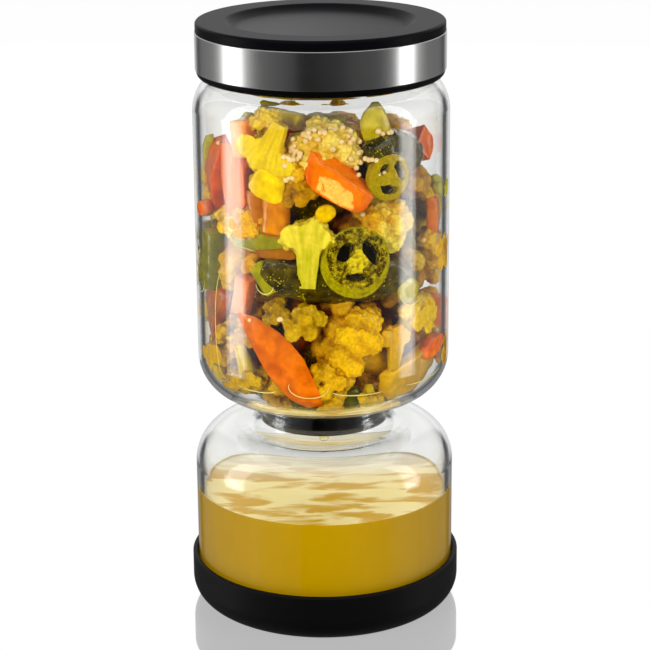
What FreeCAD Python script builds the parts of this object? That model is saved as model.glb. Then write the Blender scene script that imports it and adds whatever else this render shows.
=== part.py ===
"""Hourglass pickle jar: one glass body with a chamber above and a chamber below its neck.

The tall upper chamber holds the pickles, a strainer sits in the neck, and the brine stands in
the lower chamber. A banded lid closes the mouth and a soft boot holds the foot.
Frame: millimetres, +Z up, origin on the floor under the middle of the boot.
"""
import FreeCAD, Part
import Sketcher
import math
import os
import re

DIMENSIONS = [
    ("jarRadius", 50.5, "outside of the upper chamber"),
    ("jarHeight", 123.1, "upper chamber, from its underside to the corner of its shoulder"),
    ("jarRound", 18.0, "outside round at the upper chamber's lower edge"),
    ("shoulderRise", 6.5, "shoulder, from its corner to the foot of the finish"),
    ("shoulderInset", 6.1, "how far the finish stands in from the upper chamber"),
    ("shoulderRound", 15.0, "outside round where the wall turns into the shoulder"),
    ("finishHeight", 16.8, "straight glass finish that the lid closes over"),
    ("wall", 2.8, "thickness of the glass"),
    ("waistRadius", 27.0, "outside of the neck between the chambers"),
    ("waistGap", 11.9, "neck, from the lower chamber's top to the upper chamber's underside"),
    ("waistRound", 4.5, "outside hollow at both ends of the neck"),
    ("domeRadius", 52.3, "outside of the lower chamber"),
    ("domeHeight", 73.5, "lower chamber, from its foot to its top"),
    ("domeRound", 17.0, "outside round at the lower chamber's top"),
    ("footRound", 8.0, "outside round at the lower chamber's foot"),
    ("bootFloor", 3.0, "boot under the glass"),
    ("bootWall", 2.2, "boot around the glass"),
    ("bootHeight", 20.5, "boot, from the floor to its rim"),
    ("bootRound", 10.0, "outside round at the boot's lower edge"),
    ("bootLip", 0.8, "rounds on the boot's rim"),
    ("brineAir", 27.6, "air over the brine, measured from the lower chamber's top"),
    ("headspace", 19.0, "heap's body below the corner of the shoulder"),
    ("heapLump", 12.0, "radius of the largest lump on the heap"),
    ("heapRise", 7.0, "how far the middle lumps stand above the outer ones"),
    ("skirtGap", 0.3, "clearance between the lid's skirt and the glass finish"),
    ("skirtLift", 0.2, "lid's skirt above the foot of the finish"),
    ("skirtWall", 3.6, "thickness of the lid's skirt behind the steel band"),
    ("skirtReveal", 3.0, "skirt that shows under the steel band"),
    ("skirtLip", 0.2, "bare skirt's edge, out from the seat of the steel band"),
    ("skirtRound", 2.3, "round on the skirt's lower edge"),
    ("bandWall", 0.7, "thickness of the steel band"),
    ("capHeight", 4.0, "lid above the steel band"),
    ("capLip", 0.4, "edge of the cap, out from the seat of the steel band"),
    ("capRound", 1.1, "round on the cap's outer edge"),
    ("lidPlate", 2.5, "plate of the lid under its dish"),
    ("dishEdge", 11.4, "rim of the lid around its dish"),
    ("dishSlope", 3.8, "width of the dish's slope"),
    ("dishDepth", 2.7, "depth of the dish"),
    ("dishRound", 2.0, "rounds at the top and the foot of the dish's slope"),
    ("sievePlate", 1.8, "strainer's plate"),
    ("sieveFlange", 4.8, "how far the plate reaches over the neck's upper round"),
    ("sieveWall", 2.2, "wall of the strainer's sleeve"),
    ("sieveDrop", 0.2, "strainer's lower end above the lower chamber's top"),
    ("beadHeight", 2.0, "bead at the sleeve's lower end"),
    ("beadReach", 0.5, "how far the bead stands out from the sleeve"),
    ("holeRadius", 1.6, "holes in the strainer's plate"),
    ("holePitch", 6.2, "distance between the rings of holes"),
    ("clearance", 0.2, "gap between the glass and what is put in or over it"),
    ("margin", 0.5, "least straight stretch left between two rounds"),
]
HOLES_PER_RING = 6  # in the innermost ring, and as many more in each ring outside it
HEAP_LUMPS = 21
GOLDEN_ANGLE = 137.5077
GOLDEN_RATIO = 0.618034

# Sizes worked out from the sheet's own, each in terms of those above it.
DERIVED = {
    "domeTop": "(bootFloor + domeHeight)",
    "jarBottom": "(domeTop + waistGap)",
    "jarFloor": "(jarBottom + wall)",
    "shoulderCorner": "(jarBottom + jarHeight)",
    "finishFoot": "(shoulderCorner + shoulderRise)",
    "mouth": "(finishFoot + finishHeight)",
    "finishRadius": "(jarRadius - shoulderInset)",
    "neckRadius": "(waistRadius - wall)",
    "neckRound": "(waistRound + wall)",
    "jarRoundUsed": "min(jarRound; jarRadius - waistRadius - waistRound - margin)",
    "domeRoundUsed": "min(domeRound; domeRadius - waistRadius - waistRound - margin)",
    "skirtFoot": "(finishFoot + skirtLift)",
    "skirtInside": "(finishRadius + skirtGap)",
    "bandSeat": "(skirtInside + skirtWall)",
    "dishFloor": "(mouth + lidPlate)",
    "lidTop": "(dishFloor + dishDepth)",
    "bandTop": "(lidTop - capHeight)",
    "bandFoot": "(skirtFoot + skirtReveal)",
    "dishRadius": "(bandSeat - dishEdge)",
    "flangeRadius": "(neckRadius + sieveFlange)",
    "flangeSeat": "(jarFloor - neckRound + sqrt(neckRound^2 - (neckRound - sieveFlange)^2))",
    "sieveFoot": "(domeTop + sieveDrop)",
    "sleeveRadius": "(neckRadius - clearance)",
    "sieveTop": "(flangeSeat + clearance + sievePlate)",
    "bootInside": "(domeRadius + clearance)",
    "heapRadius": "(jarRadius - wall - clearance)",
    "heapTop": "(shoulderCorner - headspace)",
    "brineTop": "(domeTop - brineAir)",
}
SIZE_NAMES = re.compile(r"\b(" + "|".join(name for name, _, _ in DIMENSIONS) + r")\b")
DERIVED_NAMES = re.compile(r"\b(" + "|".join(DERIVED) + r")\b")

doc = FreeCAD.newDocument("PickleJar")
sheet = doc.addObject("Spreadsheet::Sheet", "Dimensions")
for row, (name, size, meaning) in enumerate(DIMENSIONS, start=1):
    sheet.set(f"A{row}", name)
    sheet.set(f"B{row}", str(size))
    sheet.set(f"C{row}", meaning)
    sheet.setAlias(f"B{row}", name)
doc.recompute()


def bound(formula):
    """The formula with derived sizes written out and each size read from the sheet."""
    while DERIVED_NAMES.search(formula):
        formula = DERIVED_NAMES.sub(lambda found: DERIVED[found.group()], formula)
    return SIZE_NAMES.sub(r"Dimensions.\1", formula)


def value(formula):
    """What the formula comes to, in millimetres."""
    return float(doc.Dimensions.evalExpression(bound(formula)))


def new_body(label):
    body = doc.addObject("PartDesign::Body", label)
    body.Label = label
    return body


def new_sketch(body, label, role, height=None):
    """An empty sketch on one of the body's own planes, raised to a height if one is given."""
    sketch = body.newObject("Sketcher::SketchObject", label)
    plane = next(item for item in body.Origin.OriginFeatures if item.Role == role)
    sketch.AttachmentSupport = (plane, [""])
    sketch.MapMode = "FlatFace"
    if height is not None:
        sketch.setExpression("AttachmentOffset.Base.z", bound(height))
    return sketch


def turned(body, label, corners):
    """A solid of revolution about Z. Each corner of its section is a radius and a height."""
    sketch = new_sketch(body, label + "Section", "XZ_Plane")
    points = [FreeCAD.Vector(value(radius), value(height), 0) for radius, height in corners]
    count = len(points)
    for i in range(count):
        sketch.addGeometry(Part.LineSegment(points[i], points[(i + 1) % count]), False)
    for i in range(count):
        sketch.addConstraint(Sketcher.Constraint("Coincident", i, 2, (i + 1) % count, 1))
    for i, corner in enumerate(corners):
        for axis, formula, size in zip("XY", corner, points[i]):
            if formula == "0":
                line = -2 if axis == "X" else -1
                sketch.addConstraint(Sketcher.Constraint("PointOnObject", i, 1, line))
                continue
            distance = Sketcher.Constraint(f"Distance{axis}", -1, 1, i, 1, size)
            index = sketch.addConstraint(distance)
            sketch.setExpression(f"Constraints[{index}]", bound(formula))
    solid = body.newObject("PartDesign::Revolution", label)
    solid.Profile = sketch
    solid.ReferenceAxis = (sketch, ["V_Axis"])
    solid.Angle = 360
    doc.recompute()


def rounded(body, label, radius, corners):
    """Rounds the body's circular edges at these corners of its section."""
    base = body.Tip
    wanted = [(value(r), value(z)) for r, z in corners]
    names = []
    for number, edge in enumerate(base.Shape.Edges, start=1):
        if isinstance(edge.Curve, Part.Circle):
            corner = (edge.Curve.Radius, edge.Curve.Center.z)
            if any(math.dist(corner, target) < 1e-4 for target in wanted):
                names.append(f"Edge{number}")
    if len(names) != len(wanted):
        raise RuntimeError(f"{label}: {len(names)} edges found for {len(wanted)} corners")
    fillet = body.newObject("PartDesign::Fillet", label)
    fillet.Base = (base, names)
    fillet.setExpression("Radius", bound(radius))
    doc.recompute()


def add_glass_jar():
    jar = new_body("glass_jar")
    drop = "(wall * shoulderRise / (shoulderInset + shoulderRise))"
    turned(jar, "Blown", [
        ("0", "bootFloor"),
        ("domeRadius", "bootFloor"),
        ("domeRadius", "domeTop"),
        ("waistRadius", "domeTop"),
        ("waistRadius", "jarBottom"),
        ("jarRadius", "jarBottom"),
        ("jarRadius", "shoulderCorner"),
        ("finishRadius", "finishFoot"),
        ("finishRadius", "mouth"),
        ("finishRadius - wall", "mouth"),
        ("finishRadius - wall", f"finishFoot - {drop}"),
        ("jarRadius - wall", f"shoulderCorner - {drop}"),
        ("jarRadius - wall", "jarFloor"),
        ("neckRadius", "jarFloor"),
        ("neckRadius", "domeTop - wall"),
        ("domeRadius - wall", "domeTop - wall"),
        ("domeRadius - wall", "bootFloor + wall"),
        ("0", "bootFloor + wall"),
    ])
    rounded(jar, "WaistOutside", "waistRound",
            [("waistRadius", "domeTop"), ("waistRadius", "jarBottom")])
    rounded(jar, "WaistInside", "neckRound",
            [("neckRadius", "domeTop - wall"), ("neckRadius", "jarFloor")])
    rounded(jar, "JarRoundOutside", "jarRoundUsed", [("jarRadius", "jarBottom")])
    rounded(jar, "JarRoundInside", "jarRoundUsed - wall", [("jarRadius - wall", "jarFloor")])
    rounded(jar, "DomeOutside", "domeRoundUsed", [("domeRadius", "domeTop")])
    rounded(jar, "DomeInside", "domeRoundUsed - wall", [("domeRadius - wall", "domeTop - wall")])
    rounded(jar, "FootOutside", "footRound", [("domeRadius", "bootFloor")])
    rounded(jar, "FootInside", "footRound - wall", [("domeRadius - wall", "bootFloor + wall")])
    rounded(jar, "ShoulderOutside", "shoulderRound", [("jarRadius", "shoulderCorner")])
    rounded(jar, "ShoulderInside", "shoulderRound - wall",
            [("jarRadius - wall", f"shoulderCorner - {drop}")])
    return jar


def add_boot():
    boot = new_body("boot")
    turned(boot, "Cup", [
        ("0", "0"),
        ("bootInside + bootWall", "0"),
        ("bootInside + bootWall", "bootHeight"),
        ("bootInside", "bootHeight"),
        ("bootInside", "bootFloor"),
        ("0", "bootFloor"),
    ])
    rounded(boot, "CupRound", "bootRound", [("bootInside + bootWall", "0")])
    rounded(boot, "CupInside", "footRound", [("bootInside", "bootFloor")])
    rounded(boot, "CupLip", "bootLip",
            [("bootInside + bootWall", "bootHeight"), ("bootInside", "bootHeight")])
    return boot


def add_brine():
    brine = new_body("brine")
    radius = "domeRadius - wall - clearance"
    floor = "bootFloor + wall"
    turned(brine, "Pool", [("0", floor), (radius, floor), (radius, "brineTop"), ("0", "brineTop")])
    rounded(brine, "PoolRound", "footRound - wall", [(radius, floor)])
    return brine


def add_strainer():
    strainer = new_body("strainer")
    seat = "flangeSeat + clearance"
    bead = "sieveFoot + beadHeight"
    turned(strainer, "Sleeve", [
        ("0", seat),
        ("sleeveRadius - sieveWall", seat),
        ("sleeveRadius - sieveWall", "sieveFoot"),
        ("sleeveRadius + beadReach", "sieveFoot"),
        ("sleeveRadius + beadReach", bead),
        ("sleeveRadius", bead),
        ("sleeveRadius", seat),
        ("flangeRadius", seat),
        ("flangeRadius", "sieveTop"),
        ("0", "sieveTop"),
    ])
    rounded(strainer, "Bead", "min(beadHeight; beadReach) * 0.8",
            [("sleeveRadius + beadReach", "sieveFoot"), ("sleeveRadius + beadReach", bead)])
    rounded(strainer, "FlangeEdge", "sievePlate * 0.4", [("flangeRadius", "sieveTop")])
    room = value("sleeveRadius - sieveWall - holeRadius - margin")
    for ring in range(int(room // value("holePitch")) + 1):
        sketch = new_sketch(strainer, f"HoleSketch{ring}", "XY_Plane", "sieveTop")
        centre = FreeCAD.Vector(ring * value("holePitch"), 0, 0)
        hole = Part.Circle(centre, FreeCAD.Vector(0, 0, 1), value("holeRadius"))
        sketch.addGeometry(hole, False)
        size = sketch.addConstraint(Sketcher.Constraint("Radius", 0, value("holeRadius")))
        sketch.setExpression(f"Constraints[{size}]", bound("holeRadius"))
        if ring == 0:
            sketch.addConstraint(Sketcher.Constraint("Coincident", 0, 3, -1, 1))
        else:
            sketch.addConstraint(Sketcher.Constraint("PointOnObject", 0, 3, -1))
            reach = Sketcher.Constraint("DistanceX", -1, 1, 0, 3, centre.x)
            place = sketch.addConstraint(reach)
            sketch.setExpression(f"Constraints[{place}]", bound(f"{ring} * holePitch"))
        pocket = strainer.newObject("PartDesign::Pocket", f"Hole{ring}")
        pocket.Profile = sketch
        pocket.setExpression("Length", bound("sievePlate + 2 * clearance"))
        doc.recompute()
        if ring > 0:
            pattern = strainer.newObject("PartDesign::PolarPattern", f"HoleRing{ring}")
            pattern.Originals = [pocket]
            pattern.Axis = (sketch, ["N_Axis"])
            pattern.Angle = 360
            pattern.Occurrences = ring * HOLES_PER_RING
            strainer.Tip = pattern
            doc.recompute()
    return strainer


def add_pickle_heap():
    """The heap as one solid: a body that fills the chamber, with lumps on its top."""
    packed = new_body("PackedPickles")
    turned(packed, "Packed", [
        ("0", "sieveTop + clearance"),
        ("flangeRadius + clearance", "sieveTop + clearance"),
        ("flangeRadius + clearance", "jarFloor + clearance"),
        ("heapRadius", "jarFloor + clearance"),
        ("heapRadius", "heapTop"),
        ("0", "heapTop"),
    ])
    rounded(packed, "PackedFoot", "min(jarRoundUsed - wall; heapRadius - flangeRadius - margin)",
            [("heapRadius", "jarFloor + clearance")])
    pieces = [packed]
    for i in range(HEAP_LUMPS):
        lump = doc.addObject("Part::Sphere", f"Lump{i}")
        spread = math.sqrt((i + 0.5) / HEAP_LUMPS)
        size = f"heapLump * {0.72 + 0.28 * (i * GOLDEN_RATIO % 1):.3f}"
        along = math.radians(i * GOLDEN_ANGLE)
        lump.setExpression("Radius", bound(size))
        reach = f"(heapRadius - {size}) * {spread:.4f}"
        lump.setExpression("Placement.Base.x", bound(f"{reach} * {math.cos(along):.4f}"))
        lump.setExpression("Placement.Base.y", bound(f"{reach} * {math.sin(along):.4f}"))
        height = f"heapTop - {size} * 0.25 + heapRise * {1 - spread:.4f}"
        lump.setExpression("Placement.Base.z", bound(height))
        pieces.append(lump)
    doc.recompute()
    heap = doc.addObject("Part::MultiFuse", "pickle_heap")
    heap.Shapes = pieces
    heap.Label = "pickle_heap"
    doc.recompute()
    return heap


def add_lid():
    lid = new_body("lid")
    turned(lid, "Cap", [
        ("0", "mouth"),
        ("skirtInside", "mouth"),
        ("skirtInside", "skirtFoot"),
        ("bandSeat + skirtLip", "skirtFoot"),
        ("bandSeat + skirtLip", "bandFoot"),
        ("bandSeat", "bandFoot"),
        ("bandSeat", "bandTop"),
        ("bandSeat + capLip", "bandTop"),
        ("bandSeat + capLip", "lidTop"),
        ("dishRadius", "lidTop"),
        ("dishRadius - dishSlope", "dishFloor"),
        ("0", "dishFloor"),
    ])
    rounded(lid, "CapEdge", "capRound", [("bandSeat + capLip", "lidTop")])
    rounded(lid, "SkirtEdge", "skirtRound", [("bandSeat + skirtLip", "skirtFoot")])
    rounded(lid, "DishEdges", "dishRound",
            [("dishRadius", "lidTop"), ("dishRadius - dishSlope", "dishFloor")])
    return lid


def add_lid_band():
    band = new_body("lid_band")
    turned(band, "Sleeve", [
        ("bandSeat", "bandFoot"),
        ("bandSeat + bandWall", "bandFoot"),
        ("bandSeat + bandWall", "bandTop"),
        ("bandSeat", "bandTop"),
    ])
    rounded(band, "Edges", "bandWall * 0.4",
            [("bandSeat + bandWall", "bandFoot"), ("bandSeat + bandWall", "bandTop")])
    return band


def main():
    makers = (add_glass_jar, add_boot, add_brine, add_strainer, add_pickle_heap, add_lid,
              add_lid_band)
    parts = [make() for make in makers]
    doc.recompute()
    for item in doc.Objects:
        if "Invalid" in item.State or "Error" in item.State:
            raise RuntimeError(f"{item.Label} failed: {item.State}")
    for part in parts:
        if part.Shape.isNull() or not part.Shape.isValid() or len(part.Shape.Solids) != 1:
            raise RuntimeError(f"{part.Label} isn't one valid solid")
    os.makedirs("parts", exist_ok=True)
    for part in parts:
        box = part.Shape.BoundBox
        volume = part.Shape.Volume / 1000
        print(f"{part.Label}: {volume:.1f} cm3, from z {box.ZMin:.1f} to {box.ZMax:.1f}")
        part.Shape.exportStep(f"parts/{part.Label}.step")


main()
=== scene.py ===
# Hourglass pickle jar: pickled vegetables over a strainer, brine below, banded lid and soft boot
import math
import random
from functools import partial

import bmesh
import bpy
from mathutils import Matrix, Vector, noise
from mathutils.bvhtree import BVHTree


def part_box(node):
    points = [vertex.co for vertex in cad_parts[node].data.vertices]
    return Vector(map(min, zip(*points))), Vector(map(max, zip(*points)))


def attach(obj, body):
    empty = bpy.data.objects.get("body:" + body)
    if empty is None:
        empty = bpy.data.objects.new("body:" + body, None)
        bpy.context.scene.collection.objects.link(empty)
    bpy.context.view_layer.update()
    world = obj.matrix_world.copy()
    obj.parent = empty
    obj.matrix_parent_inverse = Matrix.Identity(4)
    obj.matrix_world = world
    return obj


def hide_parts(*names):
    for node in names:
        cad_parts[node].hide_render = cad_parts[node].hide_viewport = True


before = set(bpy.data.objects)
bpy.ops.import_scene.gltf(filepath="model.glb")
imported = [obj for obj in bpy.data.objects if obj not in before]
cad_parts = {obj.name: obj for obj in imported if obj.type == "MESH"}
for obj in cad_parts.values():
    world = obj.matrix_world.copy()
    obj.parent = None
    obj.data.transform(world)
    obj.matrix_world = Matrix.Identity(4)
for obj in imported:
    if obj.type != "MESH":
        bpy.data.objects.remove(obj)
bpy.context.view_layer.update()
mm = 0.001


def nodeBox(node):
    return [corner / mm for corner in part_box(node)]


jarLow, jarHigh = nodeBox("glass_jar")
lidLow, lidHigh = nodeBox("lid")
bandLow, bandHigh = nodeBox("lid_band")
bootLow, bootHigh = nodeBox("boot")
sieveLow, sieveHigh = nodeBox("strainer")
brineHigh = nodeBox("brine")[1]
heapHigh = nodeBox("pickle_heap")[1]
print("frame loaded")


def linear(code):
    # sRGB hex to a linear colour
    parts = [int(code[i:i + 2], 16) / 255 for i in (0, 2, 4)]
    return [p / 12.92 if p <= 0.04045 else ((p + 0.055) / 1.055) ** 2.4 for p in parts] + [1.0]


def addNode(tree, kind, inputs=None, **settings):
    # one node, its properties, and its inputs as values, hex colours, or nodes or sockets to link from
    node = tree.nodes.new("ShaderNode" + kind)
    for name, setting in settings.items():
        setattr(node, name, setting)
    for name, given in (inputs or {}).items():
        if isinstance(given, str):
            given = linear(given)
        if isinstance(given, bpy.types.Node):
            given = next(socket for socket in given.outputs if socket.enabled)
        if isinstance(given, bpy.types.NodeSocket):
            tree.links.new(given, node.inputs[name])
        else:
            node.inputs[name].default_value = given
    return node


def makeMaterial(build, name=None, *settings):
    # named after the function that builds it, which gives back its surface
    material = bpy.data.materials.new(name or build.__name__)
    material.use_nodes = True
    material.node_tree.nodes.clear()
    add = partial(addNode, material.node_tree)
    add("OutputMaterial", {"Surface": build(add, *settings)})
    return material


def addObject(name, data):
    # a new object in the scene, its mesh from a bmesh that is then freed
    if isinstance(data, bmesh.types.BMesh):
        bm, data = data, bpy.data.meshes.new(name)
        bm.to_mesh(data)
        bm.free()
    added = bpy.data.objects.new(name, data)
    bpy.context.scene.collection.objects.link(added)
    return added


def dressed(piece, material, replaces=()):
    # a smooth piece that rides with the jar
    piece.data.shade_smooth()
    piece.data.materials.append(material)
    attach(piece, "root")
    if replaces:
        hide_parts(*replaces)
    return piece


def showPiece(name, bm, build, replaces=()):
    return dressed(addObject(name, bm), makeMaterial(build), replaces)


def rotation(degrees, axis, size=4):
    return Matrix.Rotation(math.radians(degrees), size, axis)


def turned(corners, steps=160, closed=False, unit=mm):
    # spins a section about Z; each corner is radius, height and the radius of its round, in mm
    bm = bmesh.new()
    verts = [bm.verts.new((r * unit, 0, z * unit)) for r, z, _ in corners]
    for i in range(len(verts) - (0 if closed else 1)):
        bm.edges.new((verts[i], verts[(i + 1) % len(verts)]))
    for i, (r, z, radius) in enumerate(corners):
        if not radius:
            continue
        here = Vector((r, z))
        before = (here - Vector(corners[i - 1][:2])).normalized()
        after = (Vector(corners[(i + 1) % len(corners)][:2]) - here).normalized()
        turn = before.angle(after)
        bmesh.ops.bevel(bm, geom=[verts[i]], offset=radius * unit * math.tan(turn / 2), affect="VERTICES",
                        offset_type="OFFSET", segments=max(3, round(turn * (4 + radius * 0.6))),
                        profile=0.5, material=-1)
    bmesh.ops.spin(bm, geom=bm.verts[:] + bm.edges[:], cent=(0, 0, 0), axis=(0, 0, 1),
                   angle=2 * math.pi, steps=steps, use_merge=True)
    bmesh.ops.remove_doubles(bm, verts=bm.verts, dist=1e-6)
    bmesh.ops.recalc_face_normals(bm, faces=bm.faces)
    return bm


def smoothed(bm, times=1):
    for _ in range(times):
        bmesh.ops.smooth_vert(
            bm, verts=bm.verts, factor=0.5, use_axis_x=True, use_axis_y=True, use_axis_z=True)


def sliced(bm, place, way):
    # a knife has gone through it, and the side that way points to is gone
    parts = bm.verts[:] + bm.edges[:] + bm.faces[:]
    bmesh.ops.bisect_plane(bm, geom=parts, plane_co=place, plane_no=way, clear_outer=True)
    bmesh.ops.holes_fill(bm, edges=[edge for edge in bm.edges if edge.is_boundary])
    bmesh.ops.triangulate(bm, faces=[face for face in bm.faces if len(face.verts) > 4])


def flatShaded(piece):
    # keeps flats flat beside their rounds
    modifier = piece.modifiers.new("normals", "WEIGHTED_NORMAL")
    modifier.weight = 100
    modifier.keep_sharp = False


def sodaLimeGlass(add):
    # clear blown soda-lime glass: a faint grey-green in its thick edges, darkened further where the view
    # grazes them as painted shade
    weight = add("LayerWeight", {"Blend": 0.5})
    grazing = add("MapRange", {
        "Value": weight.outputs["Facing"], "From Min": 0.74, "From Max": 0.97},
        interpolation_type="SMOOTHSTEP")
    # painted shade: where the view grazes the glass its colour darkens to grey-green
    tint = add("Mix", {"Factor": grazing, "A": "FEFFFE", "B": "A6B0AC"}, data_type="RGBA")
    glass = add("BsdfPrincipled", {
        "Base Color": tint, "Roughness": 0.0, "IOR": 1.5, "Transmission Weight": 1.0})
    clear = add("BsdfTransparent", {"Color": "F4F6F5"})
    path = add("LightPath").outputs
    soft = add("Math", {0: path["Is Shadow Ray"], 1: path["Is Diffuse Ray"]}, operation="MAXIMUM")
    return add("MixShader", {0: soft, 1: glass, 2: clear})


jar = {
    "wall": 2.8, "upper": heapHigh.x + 3.0, "lower": jarHigh.x, "neck": 27.0, "inset": 6.1,
    "foot": jarLow.z, "domeTop": jarLow.z + 73.5, "waist": 11.9, "shoulder": 211.5, "finishFoot": 218.0,
    "mouth": jarHigh.z, "neckRound": 4.5, "jarRound": 18.0, "domeRound": 17.0, "footRound": 8.0,
    "shoulderRound": 15.0,
}
jar["bottom"] = jar["domeTop"] + jar["waist"]
jar["floor"] = jar["bottom"] + jar["wall"]
jar["finish"] = jar["upper"] - jar["inset"]


def makeJar():
    wall, upper, lower = jar["wall"], jar["upper"], jar["lower"]
    rise = jar["finishFoot"] - jar["shoulder"]
    drop = wall * rise / (upper - jar["finish"] + rise)
    corners = [
        (0, jar["foot"], 0),
        (lower, jar["foot"], jar["footRound"]),
        (lower, jar["domeTop"], jar["domeRound"]),
        (jar["neck"], jar["domeTop"], jar["neckRound"]),
        (jar["neck"], jar["bottom"], jar["neckRound"]),
        (upper, jar["bottom"], jar["jarRound"]),
        (upper, jar["shoulder"], jar["shoulderRound"]),
        (jar["finish"], jar["finishFoot"], 0.8),
        (jar["finish"], jar["mouth"], 0.8),
        (jar["finish"] - wall, jar["mouth"], 0.8),
        (jar["finish"] - wall, jar["finishFoot"] - drop, 2.0),
        (upper - wall, jar["shoulder"] - drop, jar["shoulderRound"] - wall),
        (upper - wall, jar["floor"], jar["jarRound"] - wall),
        (jar["neck"] - wall, jar["floor"], jar["neckRound"] + wall),
        (jar["neck"] - wall, jar["domeTop"] - wall, jar["neckRound"] + wall),
        (lower - wall, jar["domeTop"] - wall, jar["domeRound"] - wall),
        (lower - wall, jar["foot"] + wall, jar["footRound"] - wall),
        (0, jar["foot"] + wall, 0),
    ]
    flatShaded(showPiece("jar_glass", turned(corners, 192), sodaLimeGlass, ["glass_jar"]))


makeJar()
print("glass made")


def mouldedPlastic(add):
    # matt black polypropylene from a spark-eroded mould: a fine grain under 0.3 mm, soft wide sheen,
    # and a dish painted paler grey as a painted sheen, lightest towards the left
    place = add("TexCoord").outputs["Object"]
    flat = add("VectorMath", {0: place, 1: (1, 1, 0)}, operation="MULTIPLY")
    reach = add("VectorMath", {0: flat}, operation="LENGTH")
    # painted sheen: the dish is coloured grey, fading from left to right as if lit from the left
    inDish = add("MapRange", {
        "Value": reach, "From Min": 36 * mm, "From Max": 31 * mm}, interpolation_type="SMOOTHSTEP")
    side = add("SeparateXYZ", {0: place})
    worn = add("MapRange", {
        "Value": side.outputs["X"], "From Min": 30 * mm, "From Max": -26 * mm, "To Min": 0.15},
        interpolation_type="SMOOTHSTEP")
    share = add("Math", {0: inDish, 1: worn}, operation="MULTIPLY")
    colour = add("Mix", {"Factor": share, "A": "040406", "B": "3A3A3C"}, data_type="RGBA")
    grain = add("TexNoise", {"Vector": place, "Scale": 1 / (0.35 * mm), "Roughness": 0.6})
    bump = add("Bump", {"Height": grain, "Strength": 0.25, "Distance": 0.05 * mm})
    return add("BsdfPrincipled", {
        "Base Color": colour, "Roughness": 0.4, "IOR": 1.49, "Specular IOR Level": 0.05, "Normal": bump})


def rolledSteel(add):
    # bright stainless strip, polished along its length: fine level lines, streaked reflections
    place = add("TexCoord").outputs["Object"]
    stretched = add("Mapping", {"Vector": place, "Scale": (6.0, 6.0, 1 / (0.25 * mm))})
    lines = add("TexNoise", {"Vector": stretched, "Scale": 1.0, "Detail": 3.0, "Roughness": 0.7})
    rough = add("MapRange", {"Value": lines, "To Min": 0.19, "To Max": 0.26})
    bump = add("Bump", {"Height": lines, "Strength": 0.06, "Distance": 0.02 * mm})
    return add("BsdfPrincipled", {
        "Base Color": "BABAB9", "Metallic": 1.0, "Roughness": rough, "Normal": bump})


def blackSilicone(add):
    # moulded black silicone: matt, a little grey where light grazes it
    place = add("TexCoord").outputs["Object"]
    grain = add("TexNoise", {"Vector": place, "Scale": 1 / (0.8 * mm), "Detail": 3.0, "Roughness": 0.6})
    bump = add("Bump", {"Height": grain, "Strength": 0.15, "Distance": 0.05 * mm})
    return add("BsdfPrincipled", {
        "Base Color": "070708", "Roughness": 0.48, "IOR": 1.41, "Specular IOR Level": 0.12, "Normal": bump})


def glossPlastic(add):
    # polished black ABS, wet with brine
    return add("BsdfPrincipled", {
        "Base Color": "060607", "Roughness": 0.12, "IOR": 1.53, "Coat Weight": 0.6, "Coat Roughness": 0.03})


lid = {
    "dishEdge": 11.4, "dishSlope": 3.8, "dishDepth": 2.7, "skirt": 3.6, "lip": 0.2, "capLip": 0.4,
    "band": 0.7,
}


def makeLid():
    seat = bandHigh.x - lid["band"]
    inside = seat - lid["skirt"]
    floor = lidHigh.z - lid["dishDepth"]
    dish = seat - lid["dishEdge"]
    corners = [
        (0, jar["mouth"], 0),
        (inside, jar["mouth"], 0),
        (inside, lidLow.z, 0.4),
        (seat + lid["lip"], lidLow.z, 2.3),
        (seat + lid["lip"], bandLow.z, 0.1),
        (seat, bandLow.z, 0),
        (seat, bandHigh.z, 0),
        (seat + lid["capLip"], bandHigh.z, 0.1),
        (seat + lid["capLip"], lidHigh.z, 1.1),
        (dish, lidHigh.z, 2.0),
        (dish - lid["dishSlope"], floor, 2.0),
        (0, floor, 0),
    ]
    flatShaded(showPiece("lid_cap", turned(corners), mouldedPlastic, ["lid"]))


def makeBand():
    outer, inner = bandHigh.x, bandHigh.x - lid["band"]
    corners = [
        (inner, bandLow.z, 0),
        (outer, bandLow.z, 0.28),
        (outer, bandHigh.z, 0.28),
        (inner, bandHigh.z, 0),
    ]
    bm = turned(corners, closed=True)
    flatShaded(showPiece("lid_band_steel", bm, rolledSteel, ["lid_band"]))


def makeBoot():
    outer, inner = bootHigh.x, jar["lower"] + 0.2
    corners = [
        (0, bootLow.z, 0),
        (outer, bootLow.z, 10.0),
        (outer, bootHigh.z, 0.8),
        (inner, bootHigh.z, 0.8),
        (inner, jar["foot"], 8.0),
        (0, jar["foot"], 0),
    ]
    flatShaded(showPiece("boot_silicone", turned(corners), blackSilicone, ["boot"]))


makeLid()
makeBand()
makeBoot()
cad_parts["strainer"].data.materials.clear()
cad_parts["strainer"].data.materials.append(makeMaterial(glossPlastic))
print("lid, band, boot and strainer made")


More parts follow.
